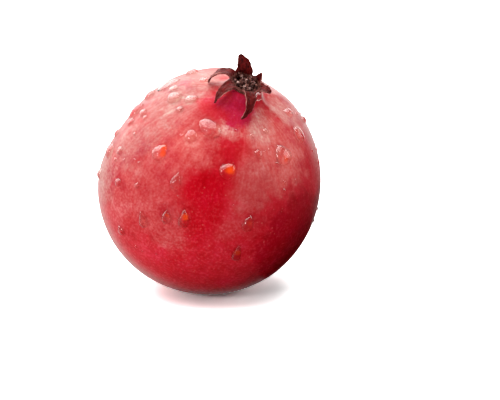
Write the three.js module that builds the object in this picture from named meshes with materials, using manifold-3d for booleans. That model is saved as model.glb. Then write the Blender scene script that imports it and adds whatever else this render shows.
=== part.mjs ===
// A whole fresh pomegranate, wet with drops of water. It leans on a small flat spot of its rind, with its
// dried crown to the upper front right.
// Millimetres, +Z up. The origin is the middle of the flat spot, and the crown leans towards -Y, the front.
import * as THREE from "three";
import { mergeVertices } from "three/addons/utils/BufferGeometryUtils.js";
import Module from "manifold-3d";

const wasm = await Module();
wasm.setup();

// Driving dimensions, in millimetres and degrees. Heights in the fruit are from its middle, along its core.
const bodyRadius = 42.6; // half the width across the core
const bodyHalfHeight = 42.4; // middle to shoulder, and middle to stem end, before neck and dimple
const crownTilt = 29.8; // the core from upright
const crownBearing = -55; // the way the core leans, from +X towards +Y
const flatDepth = 0.62; // how far the rind gives where it rests
const shoulderAngle = 68; // where the neck leaves the round body, above its widest ring
const neckRadius = 6.4; // outside, at the rim
const neckTop = 47.7;
const cupRadius = 4.6; // inside the neck, where the stamens stand
const cupDepth = 3.2;
const dimpleAngle = -76; // where the stem end starts to turn in
const dimpleDepth = 1.7;
const seatRadius = 3.2; // the flat middle of the dimple
const fitGap = 0.3; // between pieces that touch

const columns = 72; // faces round the fruit
const rows = { dimple: 5, body: 26, neck: 8, cup: 5 };

// Soft swellings (+) and flats (-) of the body: bearing round the core, angle down from the crown.
const swellings = [
  { round: 162, down: 80, height: -2.75, spread: 26 },
  { round: 40, down: 62, height: 0.5, spread: 26 },
  { round: 75, down: 36, height: 0.35, spread: 24 },
  { round: 300, down: 78, height: 0.5, spread: 30 },
  { round: 228, down: 128, height: 1.0, spread: 30 },
  { round: 285, down: 140, height: 0.8, spread: 30 },
  { round: 322, down: 116, height: 0.55, spread: 30 },
  { round: 95, down: 100, height: -0.9, spread: 30 },
  { round: 60, down: 140, height: 0.6, spread: 28 },
];
const rib = { height: 0.75, halfAngle: 15, strongestAt: 24, fadesOver: 22 };

// The six dried lobes of the crown. rise: way they set off, from flat outwards (0) to along the core (90).
// curl: how far they bend outwards over their length. drift: how far they have veered sideways at the tip.
// taper: near 0 keeps a lobe wide almost to its tip, 1 draws it in evenly. cup hollows it across.
const lobes = [
  { turn: 107, wide: 7.7, long: 7.7, rise: 79, curl: 43, drift: 62, taper: 0.65, cup: 0.06 },
  { turn: 160, wide: 4.8, long: 12.4, rise: 3, curl: 92, drift: 14, taper: 0.4, cup: 0.12 },
  { turn: 216, wide: 5.6, long: 10.9, rise: -15, curl: 56, drift: 24, taper: 0.65, cup: 0.08 },
  { turn: 286, wide: 5.2, long: 13.2, rise: 8, curl: 100, drift: -43, taper: 0.68, cup: 0.07 },
  { turn: 344, wide: 5.2, long: 4.8, rise: 29, curl: 45, drift: -12, taper: 0.6, cup: 0.12 },
  { turn: 36, wide: 4.3, long: 4.2, rise: 81, curl: -19, drift: -3, taper: 0.85, cup: 0.1 },
];
const lobeThickness = 1.05;
const lobeRows = 12;
const lobeColumns = 5;
const ring = { inner: 4.7, outer: 6.3, tall: 1.0 }; // what the lobes grow from, on the neck's rim
const bendLength = 0.07; // share of a lobe over which it turns from upright to its own rise

const stamens = { count: 22, thick: 0.75, shortest: 2.6, longest: 4.6, anther: 0.62, seed: 11 };
const stamenDisc = { radius: 4.3, tall: 1.1 };

const stem = { radius: 2.1, flare: 0.7, long: 2.7 }; // the stub where the fruit was cut from its branch

// Drops of water, laid down as they are met from an eye before the fruit and a little above it: across
// and up from the fruit's middle. turn is the long way of a drop from level to upright, and taper thins
// its upper end.
const eye = { rise: 15, distance: 800 };
const drops = [
  { across: -6.0, up: 41.1, long: 4.8, wide: 4.4, tall: 1.4, turn: 0 },
  { across: -15.4, up: 36.9, long: 8.8, wide: 5.4, tall: 1.6, turn: 27 },
  { across: -13.4, up: 35.0, long: 3.8, wide: 3.2, tall: 1.0, turn: 20 },
  { across: -22.6, up: 32.9, long: 4.8, wide: 3.6, tall: 1.3, turn: 40 },
  { across: -12.8, up: 31.4, long: 5.4, wide: 5.0, tall: 1.6, turn: 20 },
  { across: -6.5, up: 30.8, long: 4.9, wide: 3.7, tall: 1.2, turn: 8 },
  { across: -10.9, up: 27.1, long: 2.8, wide: 2.7, tall: 0.9, turn: 90 },
  { across: -27.8, up: 26.7, long: 6.8, wide: 4.4, tall: 1.6, turn: 48 },
  { across: -24.9, up: 25.9, long: 3.3, wide: 3.0, tall: 1.1, turn: 40 },
  { across: -29.8, up: 22.4, long: 3.4, wide: 3.0, tall: 1.0, turn: 55 },
  { across: -35.0, up: 18.3, long: 3.4, wide: 3.2, tall: 1.1, turn: 60 },
  { across: -37.3, up: 11.4, long: 5.6, wide: 4.4, tall: 1.5, turn: 72 },
  { across: -33.7, up: 11.5, long: 3.2, wide: 3.2, tall: 1.0, turn: 75 },
  { across: -18.4, up: 10.8, long: 6.2, wide: 5.0, tall: 1.7, turn: 42, taper: 0.4 },
  { across: -41.2, up: 2.7, long: 3.6, wide: 3.2, tall: 1.2, turn: 88 },
  { across: -34.5, up: -0.7, long: 3.0, wide: 3.4, tall: 0.9, turn: 90 },
  { across: -12.5, up: -0.2, long: 6.0, wide: 3.4, tall: 1.2, turn: 72, taper: 0.45 },
  { across: -6.6, up: 16.9, long: 4.6, wide: 4.2, tall: 1.1, turn: 80 },
  { across: 0.4, up: 19.8, long: 8.4, wide: 6.2, tall: 1.7, turn: 138, taper: 0.15 },
  { across: 30.1, up: 25.2, long: 3.8, wide: 4.2, tall: 1.5, turn: 90 },
  { across: 36.0, up: 22.8, long: 2.8, wide: 2.8, tall: 1.1, turn: 120 },
  { across: 34.2, up: 17.2, long: 6.4, wide: 4.8, tall: 1.4, turn: 130 },
  { across: 19.0, up: 9.7, long: 3.4, wide: 3.2, tall: 0.8, turn: 90 },
  { across: 27.9, up: 9.4, long: 7.4, wide: 6.8, tall: 1.9, turn: 128, taper: 0.2 },
  { across: 7.2, up: 3.6, long: 6.2, wide: 5.6, tall: 1.9, turn: 40, taper: 0.3 },
  { across: -25.1, up: -14.7, long: 6.0, wide: 2.8, tall: 1.3, turn: 95, taper: 0.75 },
  { across: -16.2, up: -13.8, long: 5.2, wide: 3.2, tall: 1.4, turn: 80, taper: 0.6 },
  { across: -9.6, up: -14.4, long: 6.6, wide: 3.5, tall: 1.5, turn: 80, taper: 0.6 },
  { across: -33.4, up: -18.8, long: 3.6, wide: 2.8, tall: 1.0, turn: 100, taper: 0.5 },
  { across: 14.9, up: -16.5, long: 6.0, wide: 3.9, tall: 1.4, turn: 78, taper: 0.45 },
  { across: 10.5, up: -27.6, long: 6.2, wide: 3.0, tall: 1.4, turn: 88, taper: 0.65 },
  { across: -1.5, up: 38.0, long: 3.2, wide: 3.4, tall: 1.0, turn: 0 },
];
// Behind, where the eye doesn't reach, drops of like sizes lie by a seeded draw.
const hiddenDrops = { count: 8, seed: 5, lowest: -0.35, highest: 0.85, apart: 0.3 };
const dropMesh = { sides: 12, topRings: [0.45, 0.8, 1], underRings: [0.55] };
const dropRoundness = 0.62; // 0.5 meets the rind at a right angle, 1 at a shallow one
const waterGap = 0.25;

const colours = {
  rind: new THREE.MeshStandardMaterial({ color: 0xb3122a, roughness: 0.42, metalness: 0 }),
  driedLobe: new THREE.MeshStandardMaterial({ color: 0x4a1c1a, roughness: 0.75, metalness: 0 }),
  driedThread: new THREE.MeshStandardMaterial({ color: 0x8a5a44, roughness: 0.8, metalness: 0 }),
  wood: new THREE.MeshStandardMaterial({ color: 0x6b4a33, roughness: 0.85, metalness: 0 }),
  water: new THREE.MeshStandardMaterial({
    color: 0xf6dcdc,
    roughness: 0.05,
    metalness: 0,
    transparent: true,
    opacity: 0.5,
  }),
};

const radians = THREE.MathUtils.degToRad;

// The small mulberry32 generator: the same seed gives the same draws.
function seededDraw(seed) {
  let state = seed;
  return () => {
    state = (state + 0x6d2b79f5) | 0;
    let t = Math.imul(state ^ (state >>> 15), 1 | state);
    t = (t + Math.imul(t ^ (t >>> 7), 61 | t)) ^ t;
    return ((t ^ (t >>> 14)) >>> 0) / 4294967296;
  };
}

// A unit vector at a bearing about Z and an angle down from +Z.
function bearing(round, down) {
  return new THREE.Vector3(
    Math.sin(radians(down)) * Math.cos(radians(round)),
    Math.sin(radians(down)) * Math.sin(radians(round)),
    Math.cos(radians(down)),
  );
}

// A closed surface from flat rings of points, each an inner side and then the outer side back: each ring
// joins the next, and the first and last are closed from side to side.
function closedLoft(rings) {
  const around = rings[0].length;
  const points = rings.flat();
  const faces = [];
  for (let r = 0; r + 1 < rings.length; r++) {
    for (let c = 0; c < around; c++) {
      const a = r * around + c;
      const b = r * around + ((c + 1) % around);
      faces.push(a, b, b + around, a, b + around, a + around);
    }
  }
  const last = (rings.length - 1) * around;
  for (let c = 0; c + 1 < around / 2; c++) {
    const far = around - 1 - c;
    faces.push(c, far, far - 1, c, far - 1, c + 1);
    faces.push(last + c, last + c + 1, last + far - 1, last + c, last + far - 1, last + far);
  }
  return indexed(points, faces);
}

function indexed(points, faces) {
  const geometry = new THREE.BufferGeometry().setFromPoints(points);
  geometry.setIndex(faces);
  geometry.computeVertexNormals();
  return geometry;
}

// A geometry as a manifold-3d solid, and back.
function toSolid(geometry) {
  const bare = geometry.clone();
  bare.deleteAttribute("normal");
  bare.deleteAttribute("uv");
  const merged = mergeVertices(bare, 1e-4);
  return new wasm.Manifold(
    new wasm.Mesh({
      numProp: 3,
      vertProperties: merged.attributes.position.array,
      triVerts: new Uint32Array(merged.index.array),
    }),
  );
}

function fromSolid(solid) {
  const mesh = solid.getMesh();
  const geometry = new THREE.BufferGeometry();
  geometry.setAttribute("position", new THREE.BufferAttribute(mesh.vertProperties, 3));
  geometry.setIndex(new THREE.BufferAttribute(mesh.triVerts, 1));
  geometry.computeVertexNormals();
  return geometry;
}

const leastEdge = 0.02; // cuts leave shorter edges, which are taken out

function fused(geometries) {
  const whole = geometries.map(toSolid).reduce((all, next) => all.add(next));
  return fromSolid(whole.simplify(leastEdge));
}

// The half outline of the fruit, from the stem end up the side, over the neck's rim and into its cup.
function fruitOutline() {
  const path = new THREE.Path();
  const dimpleEdge = new THREE.Vector2(
    bodyRadius * Math.cos(radians(dimpleAngle)),
    bodyHalfHeight * Math.sin(radians(dimpleAngle)),
  );
  const shoulder = new THREE.Vector2(
    bodyRadius * Math.cos(radians(shoulderAngle)),
    bodyHalfHeight * Math.sin(radians(shoulderAngle)),
  );
  const seatHeight = -bodyHalfHeight + dimpleDepth;
  path.moveTo(seatRadius, seatHeight);
  path.bezierCurveTo(seatRadius + 1.8, seatHeight, dimpleEdge.x * 0.66, -bodyHalfHeight, ...dimpleEdge);
  path.absellipse(0, 0, bodyRadius, bodyHalfHeight, radians(dimpleAngle), radians(shoulderAngle), false);
  const along = new THREE.Vector2(-Math.sin(radians(shoulderAngle)), Math.cos(radians(shoulderAngle)));
  const neckFoot = shoulder.clone().addScaledVector(along, 6.5);
  path.bezierCurveTo(...neckFoot, neckRadius + 0.9, neckTop - 6, neckRadius, neckTop);
  const cupFloor = neckTop - cupDepth;
  const [dimple, body, neck] = path.curves;
  const cup = [
    new THREE.Vector2(cupRadius + 0.15, neckTop),
    new THREE.Vector2(cupRadius, neckTop - 0.5),
    new THREE.Vector2(cupRadius - 0.05, cupFloor + 0.6),
    new THREE.Vector2(cupRadius - 0.7, cupFloor),
    new THREE.Vector2(0, cupFloor),
  ];
  return [
    new THREE.Vector2(0, seatHeight),
    ...dimple.getPoints(rows.dimple),
    ...body.getPoints(rows.body).slice(1),
    ...neck.getPoints(rows.neck).slice(1),
    ...cup,
  ];
}

// How far the skin stands out from its round outline in a given direction from the middle.
function swelling(direction) {
  let out = 0;
  for (const s of swellings) {
    const apart = THREE.MathUtils.radToDeg(direction.angleTo(bearing(s.round, s.down)));
    out += s.height * Math.exp(-((apart / s.spread) ** 2));
  }
  const round = THREE.MathUtils.radToDeg(Math.atan2(direction.y, direction.x));
  const down = THREE.MathUtils.radToDeg(Math.acos(THREE.MathUtils.clamp(direction.z, -1, 1)));
  const strength = Math.exp(-(((down - rib.strongestAt) / rib.fadesOver) ** 2));
  for (const lobe of lobes) {
    const apart = THREE.MathUtils.euclideanModulo(round - lobe.turn + 180, 360) - 180;
    out += rib.height * strength * Math.exp(-((apart / rib.halfAngle) ** 2));
  }
  return out;
}

const crownDirection = bearing(crownBearing, crownTilt);
const lean = new THREE.Quaternion().setFromUnitVectors(new THREE.Vector3(0, 0, 1), crownDirection);

// The fruit's rings of points about its own core, with the flat spot pressed into its underside.
function fruitRings() {
  const outline = fruitOutline();
  const rimRow = outline.length - rows.cup;
  const rings = outline.map((point, row) => {
    const ringPoints = [];
    for (let c = 0; c < columns; c++) {
      const angle = (2 * Math.PI * c) / columns;
      const p = new THREE.Vector3(point.x * Math.cos(angle), point.x * Math.sin(angle), point.y);
      const direction = p.clone().normalize();
      const inNeck = THREE.MathUtils.smoothstep(point.y, bodyHalfHeight, neckTop);
      const inSeat = 1 - THREE.MathUtils.smoothstep(point.x, seatRadius, 3 * seatRadius);
      const part = (1 - inNeck) * (row < rimRow ? 1 - inSeat : 0);
      p.addScaledVector(direction, swelling(direction) * part);
      ringPoints.push(p);
    }
    return ringPoints;
  });
  const leaned = rings.flat().map((p) => p.clone().applyQuaternion(lean).z);
  const floor = Math.min(...leaned) + flatDepth;
  const upright = new THREE.Vector3(0, 0, 1).applyQuaternion(lean.clone().invert());
  for (const p of rings.flat()) {
    const below = floor - p.dot(upright);
    if (below > 0) p.addScaledVector(upright, below);
  }
  return { rings, middleHeight: -floor };
}

function fruitGeometry(rings) {
  const inner = rings.slice(1, -1);
  const points = [rings[0][0], ...inner.flat(), rings.at(-1)[0]];
  const faces = [];
  const top = points.length - 1;
  const last = top - columns;
  for (let c = 0; c < columns; c++) {
    const next = (c + 1) % columns;
    faces.push(0, 1 + next, 1 + c);
    faces.push(top, last + c, last + next);
    for (let r = 0; r + 1 < inner.length; r++) {
      const a = 1 + r * columns + c;
      const b = 1 + r * columns + next;
      faces.push(a, b, b + columns, a, b + columns, a + columns);
    }
  }
  return indexed(points, faces);
}

// The way a lobe points at a share of its length: it leaves the ring upright, turns to its own rise, curls
// over and drifts sideways. inside is the side that faced the core while the lobe was closed.
function lobeFrame(lobe, share) {
  const outwards = bearing(lobe.turn, 90);
  const sideways = new THREE.Vector3(-outwards.y, outwards.x, 0);
  const upright = (90 - lobe.rise) * Math.exp(-share / bendLength);
  const rise = radians(lobe.rise + upright - lobe.curl * share);
  const veer = radians(lobe.drift * share * share);
  const flat = outwards.clone().multiplyScalar(Math.cos(rise)).setZ(Math.sin(rise));
  const forward = flat.clone().multiplyScalar(Math.cos(veer)).addScaledVector(sideways, Math.sin(veer));
  const across = sideways.clone().multiplyScalar(Math.cos(veer)).addScaledVector(flat, -Math.sin(veer));
  return { forward, across, inside: new THREE.Vector3().crossVectors(forward, across) };
}

// One lobe: a cupped blade with its foot in the ring, thinner and narrower towards its tip.
function lobeGeometry(lobe, place) {
  const ringRadius = (ring.inner + ring.outer) / 2;
  const centre = bearing(lobe.turn, 90).multiplyScalar(ringRadius);
  centre.z = neckTop + fitGap + 0.2 + 0.05 * place; // no two feet are level, so that they join cleanly
  const rings = [];
  for (let row = 0; row <= lobeRows; row++) {
    const share = row / lobeRows;
    const { across, inside } = lobeFrame(lobe, share);
    const halfWidth = (lobe.wide / 2) * widthShare(share, lobe.taper);
    const ownCup = THREE.MathUtils.smoothstep(share, 0, 0.3);
    const bend = THREE.MathUtils.lerp(0.5 / ringRadius, lobe.cup, ownCup);
    const thick = lobeThickness * (1 - 0.35 * share);
    const innerSide = [];
    const outerSide = [];
    for (let c = 0; c < lobeColumns; c++) {
      const x = 1 - (2 * c) / (lobeColumns - 1);
      const raised = bend * (halfWidth * x) ** 2;
      const half = (thick / 2) * (1 - 0.45 * x * x);
      const spine = centre.clone().addScaledVector(across, x * halfWidth).addScaledVector(inside, raised);
      innerSide.push(spine.clone().addScaledVector(inside, half));
      outerSide.unshift(spine.clone().addScaledVector(inside, -half));
    }
    rings.push([...innerSide, ...outerSide]);
    centre.addScaledVector(lobeFrame(lobe, share + 0.5 / lobeRows).forward, lobe.long / lobeRows);
  }
  return closedLoft(rings);
}

// A lobe's width along its length, as a share of its widest: full at the foot, then in to a blunt point.
function widthShare(s, taper) {
  return 0.08 + 0.92 * Math.pow(1 - s, taper) * (1 + 0.25 * s);
}

function calyxGeometry() {
  const low = neckTop + fitGap;
  const high = low + ring.tall;
  const profile = [
    new THREE.Vector2(ring.inner, low),
    new THREE.Vector2(ring.outer, low),
    new THREE.Vector2(ring.outer - 0.1, high),
    new THREE.Vector2(ring.inner + 0.1, high),
    new THREE.Vector2(ring.inner, low),
  ];
  const band = new THREE.LatheGeometry(profile, 36).rotateX(Math.PI / 2);
  return fused([band, ...lobes.map(lobeGeometry)]);
}

// The dried stamens: a low disc in the neck's cup with bent threads, each with its anther at the tip.
function stamensGeometry() {
  const draw = seededDraw(stamens.seed);
  const foot = neckTop - cupDepth + fitGap;
  const disc = new THREE.LatheGeometry(
    [
      new THREE.Vector2(0, foot),
      new THREE.Vector2(stamenDisc.radius * 0.7, foot),
      new THREE.Vector2(stamenDisc.radius, foot + stamenDisc.tall * 0.7),
      new THREE.Vector2(stamenDisc.radius * 0.8, foot + stamenDisc.tall),
      new THREE.Vector2(0, foot + stamenDisc.tall * 1.5),
    ],
    20,
  ).rotateX(Math.PI / 2);
  const thread = new THREE.Shape();
  thread.absellipse(0, 0, stamens.thick / 2, stamens.thick / 2, 0, 2 * Math.PI);
  const goldenTurn = 137.5; // sets each thread clear of the last
  const pieces = [disc];
  for (let n = 0; n < stamens.count; n++) {
    const out = 3.5 * Math.sqrt((n + 0.5) / stamens.count);
    const outwards = bearing(goldenTurn * n, 90);
    const sideways = new THREE.Vector3(-outwards.y, outwards.x, 0);
    const tall = THREE.MathUtils.lerp(stamens.shortest, stamens.longest, draw());
    const swing = 1.1 * (draw() - 0.5);
    const reach = Math.min(0.25 + 0.5 * draw(), 3.7 - out);
    const at = (radial, side, up) =>
      outwards.clone().multiplyScalar(radial).addScaledVector(sideways, side).setZ(foot + up);
    const path = new THREE.CatmullRomCurve3([
      at(out, 0, 0.5),
      at(out + reach * 0.4, swing * 0.3, tall * 0.5),
      at(out + reach, swing, tall * 0.9),
      at(out + reach * 0.5, swing * 1.7, tall),
    ]);
    pieces.push(new THREE.ExtrudeGeometry(thread, { extrudePath: path, steps: 4, curveSegments: 3 }));
    const tip = new THREE.SphereGeometry(stamens.anther, 6, 4);
    pieces.push(tip.scale(1, 0.8, 0.8).translate(...path.getPoint(1)));
  }
  return fused(pieces);
}

// The woody stub left where the fruit was cut from its branch, flared into the dimple.
function stemGeometry() {
  const top = -bodyHalfHeight + dimpleDepth - fitGap;
  const profile = [
    new THREE.Vector2(0, top - stem.long + 0.4),
    new THREE.Vector2(stem.radius * 0.45, top - stem.long + 0.3),
    new THREE.Vector2(stem.radius * 0.85, top - stem.long),
    new THREE.Vector2(stem.radius, top - stem.long + 0.25),
    new THREE.Vector2(stem.radius * 0.95, top - stem.long * 0.5),
    new THREE.Vector2(stem.radius + stem.flare * 0.5, top - 0.5),
    new THREE.Vector2(stem.radius + stem.flare, top - 0.25),
    new THREE.Vector2(stem.radius + stem.flare * 0.6, top),
    new THREE.Vector2(0, top),
  ];
  return new THREE.LatheGeometry(profile, 16).rotateX(Math.PI / 2);
}

const skin = fruitRings();
const middle = new THREE.Vector3(0, 0, skin.middleHeight);
const fruit = new THREE.Mesh(fruitGeometry(skin.rings), colours.rind);
const calyx = new THREE.Mesh(calyxGeometry(), colours.driedLobe);
const stamenTuft = new THREE.Mesh(stamensGeometry(), colours.driedThread);
const stemStub = new THREE.Mesh(stemGeometry(), colours.wood);
fruit.name = "fruit";
calyx.name = "calyx";
stamenTuft.name = "stamens";
stemStub.name = "stem_stub";

const leaningFruit = new THREE.Group();
leaningFruit.add(fruit, calyx, stamenTuft, stemStub);
leaningFruit.quaternion.copy(lean);
leaningFruit.position.copy(middle);
leaningFruit.updateMatrixWorld(true);

// Where a line from outside meets the rind.
function meetRind(from, towards) {
  const hits = new THREE.Raycaster(from, towards).intersectObject(fruit);
  if (!hits.length) throw new Error("a drop's line misses the rind");
  return hits[0].point;
}

// The point of the rind in a direction from the fruit's middle.
function rindIn(direction) {
  const from = middle.clone().addScaledVector(direction, 3 * bodyRadius);
  return meetRind(from, direction.clone().negate());
}

const sight = {
  right: new THREE.Vector3(1, 0, 0),
  up: new THREE.Vector3(0, Math.sin(radians(eye.rise)), Math.cos(radians(eye.rise))),
  nearer: new THREE.Vector3(0, -Math.cos(radians(eye.rise)), Math.sin(radians(eye.rise))),
};

// One drop: a lens on the rind. Its rim is an ellipse, drawn in towards its upper end by its taper.
function dropGeometry(place, lengthwise, drop) {
  const outwards = place.clone().sub(middle).normalize();
  const along = lengthwise.clone().projectOnPlane(outwards).normalize();
  const across = new THREE.Vector3().crossVectors(outwards, along);
  const taper = drop.taper ?? 0;
  const at = (share, angle, height) => {
    const u = (drop.long / 2) * share * Math.cos(angle);
    const v = (drop.wide / 2) * share * Math.sin(angle) * (1 - taper * Math.cos(angle));
    const direction = place.clone().addScaledVector(along, u).addScaledVector(across, v);
    direction.sub(middle).normalize();
    const thinner = 1 - 0.6 * taper * share * Math.cos(angle);
    return rindIn(direction).addScaledVector(direction, waterGap + height * thinner);
  };
  const ringAt = (share, height) =>
    Array.from({ length: dropMesh.sides }, (_, k) => at(share, (2 * Math.PI * k) / dropMesh.sides, height));
  const heightAt = (share) => drop.tall * Math.pow(1 - share * share, dropRoundness);
  const under = dropMesh.underRings.map((share) => ringAt(share, 0));
  const top = dropMesh.topRings.map((share) => ringAt(share, heightAt(share))).reverse();
  const rings = [...under, ...top];
  const points = [at(0, 0, 0), ...rings.flat(), at(0, 0, drop.tall)];
  const faces = [];
  const summit = points.length - 1;
  const last = summit - dropMesh.sides;
  for (let k = 0; k < dropMesh.sides; k++) {
    const next = (k + 1) % dropMesh.sides;
    faces.push(0, 1 + next, 1 + k);
    faces.push(summit, last + k, last + next);
    for (let r = 0; r + 1 < rings.length; r++) {
      const a = 1 + r * dropMesh.sides + k;
      const b = 1 + r * dropMesh.sides + next;
      faces.push(a, b, b + dropMesh.sides, a, b + dropMesh.sides, a + dropMesh.sides);
    }
  }
  return indexed(points, faces);
}

function seenDrop(drop) {
  const from = middle.clone().addScaledVector(sight.nearer, eye.distance);
  const past = middle.clone().addScaledVector(sight.right, drop.across).addScaledVector(sight.up, drop.up);
  const place = meetRind(from, past.sub(from).normalize());
  const lengthwise = sight.right.clone().multiplyScalar(Math.cos(radians(drop.turn)));
  lengthwise.addScaledVector(sight.up, Math.sin(radians(drop.turn)));
  return dropGeometry(place, lengthwise, drop);
}

// Directions behind the fruit, drawn until each is clear of the ones before it.
function hiddenDropGeometries() {
  const draw = seededDraw(hiddenDrops.seed);
  const taken = [];
  while (taken.length < hiddenDrops.count) {
    const high = THREE.MathUtils.lerp(hiddenDrops.lowest, hiddenDrops.highest, draw());
    const round = Math.PI * (0.08 + 0.84 * draw());
    const level = Math.sqrt(1 - high * high);
    const direction = new THREE.Vector3(level * Math.cos(round), level * Math.sin(round), high);
    const seen = direction.dot(sight.nearer) > -0.25;
    const tooNear = taken.some((other) => other.direction.distanceTo(direction) < hiddenDrops.apart);
    const size = 3 + 4.6 * draw() ** 2;
    if (!seen && !tooNear) taken.push({ direction, size, taper: high < 0.3 ? 0.5 : 0.1 });
  }
  return taken.map(({ direction, size, taper }) => {
    const drop = { long: size * (1 + 0.6 * taper), wide: size * 0.9, tall: 0.6 + size * 0.17, taper };
    return dropGeometry(rindIn(direction), new THREE.Vector3(0, 0, 1), drop);
  });
}

const water = new THREE.Group();
[...drops.map(seenDrop), ...hiddenDropGeometries()].forEach((geometry, n) => {
  const drop = new THREE.Mesh(geometry, colours.water);
  drop.name = `water_drop_${String(n + 1).padStart(2, "0")}`;
  water.add(drop);
});

const pomegranate = new THREE.Group();
pomegranate.add(leaningFruit, water);

export default pomegranate;
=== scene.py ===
import math
import random

import bmesh
import bpy
from mathutils import Matrix, Vector, noise
from mathutils.bvhtree import BVHTree


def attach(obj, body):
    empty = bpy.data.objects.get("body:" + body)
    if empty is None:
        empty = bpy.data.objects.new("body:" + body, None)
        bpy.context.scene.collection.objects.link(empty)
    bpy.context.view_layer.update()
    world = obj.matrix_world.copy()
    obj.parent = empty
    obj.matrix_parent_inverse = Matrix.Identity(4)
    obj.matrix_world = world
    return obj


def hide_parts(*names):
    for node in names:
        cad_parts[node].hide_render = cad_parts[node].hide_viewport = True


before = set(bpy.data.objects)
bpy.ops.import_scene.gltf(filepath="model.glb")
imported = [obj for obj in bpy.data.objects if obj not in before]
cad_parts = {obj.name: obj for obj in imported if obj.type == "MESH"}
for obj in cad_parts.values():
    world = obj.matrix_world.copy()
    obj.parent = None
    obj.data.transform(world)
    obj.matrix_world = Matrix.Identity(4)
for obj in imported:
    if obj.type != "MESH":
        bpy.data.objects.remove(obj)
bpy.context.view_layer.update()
mm = 0.001

# where the fruit's middle is, and how its core leans towards the crown, in degrees
fruitPose = {"middleHeight": 42.65 * mm, "tilt": 29.8, "bearing": -55.0}
middle = Vector((0, 0, fruitPose["middleHeight"]))
coreTilt, coreBearing = math.radians(fruitPose["tilt"]), math.radians(fruitPose["bearing"])
core = Vector((
    math.sin(coreTilt) * math.cos(coreBearing),
    math.sin(coreTilt) * math.sin(coreBearing),
    math.cos(coreTilt),
))
leaned = Vector((0, 0, 1)).rotation_difference(core).to_matrix().to_4x4()
# from the fruit's own frame, with Z up its core, to the part's, and back
alongCore = Matrix.Translation(middle) @ leaned
intoFruit = alongCore.inverted()

# the photograph's sight line, what a pixel of it is worth at the fruit's middle, and the pixels that show
# that middle and the picture's own
sight = {
    "rise": 15.0, "distance": 800 * mm, "lens": 151.5, "sensor": 36.0,
    "pixel": 0.3802 * mm, "fruitAt": (209, 180), "pictureMiddle": (250, 200),
}
rise = math.radians(sight["rise"])
right = Vector((1, 0, 0))
up = Vector((0, math.sin(rise), math.cos(rise)))
nearer = Vector((0, -math.cos(rise), math.sin(rise)))
eye = middle + nearer * sight["distance"]


def seenAt(x, y):
    # the point of the plane through the fruit's middle that a pixel shows
    across, down = x - sight["fruitAt"][0], y - sight["fruitAt"][1]
    return middle + right * across * sight["pixel"] - up * down * sight["pixel"]


def addCamera():
    cam = bpy.data.cameras.new("camera")
    cam.lens, cam.sensor_width = sight["lens"], sight["sensor"]
    obj = bpy.data.objects.new("camera", cam)
    bpy.context.scene.collection.objects.link(obj)
    obj.location = eye
    obj.rotation_mode = "QUATERNION"
    obj.rotation_quaternion = (seenAt(*sight["pictureMiddle"]) - eye).to_track_quat("-Z", "Y")
    bpy.context.scene.camera = obj


addCamera()
print("camera placed")


# helpers for objects

def pick(obj):
    bpy.ops.object.select_all(action="DESELECT")
    obj.select_set(True)
    bpy.context.view_layer.objects.active = obj


def namedCopy(nodeName, name):
    # a copy of a CAD node's mesh, merged into one skin of mostly four-sided faces
    obj = bpy.data.objects.new(name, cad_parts[nodeName].data.copy())
    obj.data.name = name
    obj.data.materials.clear()
    bpy.context.scene.collection.objects.link(obj)
    pick(obj)
    bpy.ops.mesh.customdata_custom_splitnormals_clear()
    bpy.ops.object.mode_set(mode="EDIT")
    bpy.ops.mesh.select_all(action="SELECT")
    bpy.ops.mesh.remove_doubles(threshold=0.002 * mm)
    bpy.ops.mesh.tris_convert_to_quads()
    bpy.ops.object.mode_set(mode="OBJECT")
    bpy.ops.object.shade_smooth()
    return obj


def applyAll(obj):
    pick(obj)
    for modifier in list(obj.modifiers):
        bpy.ops.object.modifier_apply(modifier=modifier.name)


def subdivide(obj, levels):
    modifier = obj.modifiers.new("finer", "SUBSURF")
    modifier.levels = modifier.render_levels = levels


def roughen(obj, lumps, group=""):
    # uneven by clouds, each with the size of its lumps and their height from pit to top
    for size, height in lumps:
        clouds = bpy.data.textures.new(obj.name + "Lumps", "CLOUDS")
        clouds.noise_scale = size
        clouds.noise_depth = 2
        modifier = obj.modifiers.new("uneven", "DISPLACE")
        modifier.texture = clouds
        modifier.texture_coords = "LOCAL"
        modifier.strength = height
        modifier.mid_level = 0.5
        modifier.vertex_group = group


def joined(objects, name):
    bpy.ops.object.select_all(action="DESELECT")
    for obj in objects:
        obj.select_set(True)
    bpy.context.view_layer.objects.active = objects[0]
    bpy.ops.object.join()
    objects[0].name = objects[0].data.name = name
    return objects[0]


def settle(obj, matrix):
    # puts a piece in its place, and its place into its mesh
    obj.matrix_world = matrix @ obj.matrix_world
    pick(obj)
    bpy.ops.object.transform_apply(location=True, rotation=True, scale=True)


def treeOf(obj):
    return BVHTree.FromPolygons(
        [vertex.co for vertex in obj.data.vertices],
        [face.vertices for face in obj.data.polygons],
    )


# helpers for materials

def startMaterial(name):
    mat = bpy.data.materials.new(name)
    mat.use_nodes = True
    tree = mat.node_tree
    return mat, tree, tree.nodes["Principled BSDF"]


def setSockets(shader, values):
    for name, value in values.items():
        shader.inputs[name].default_value = value


def put(tree, kind, inputs=None, **settings):
    # adds a node; inputs are numbers, colours or sockets by their place or name
    node = tree.nodes.new(kind)
    for key, value in settings.items():
        setattr(node, key, value)
    for key, value in (inputs or {}).items():
        if isinstance(value, bpy.types.NodeSocket):
            tree.links.new(value, node.inputs[key])
        else:
            node.inputs[key].default_value = value
    return node


def mixed(tree, share, first, second, blend="MIX"):
    colours = [
        colour if isinstance(colour, bpy.types.NodeSocket) else (*colour, 1)
        for colour in (first, second)
    ]
    inputs = {0: share, 6: colours[0], 7: colours[1]}
    return put(tree, "ShaderNodeMix", inputs, data_type="RGBA", blend_type=blend).outputs[2]


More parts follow.
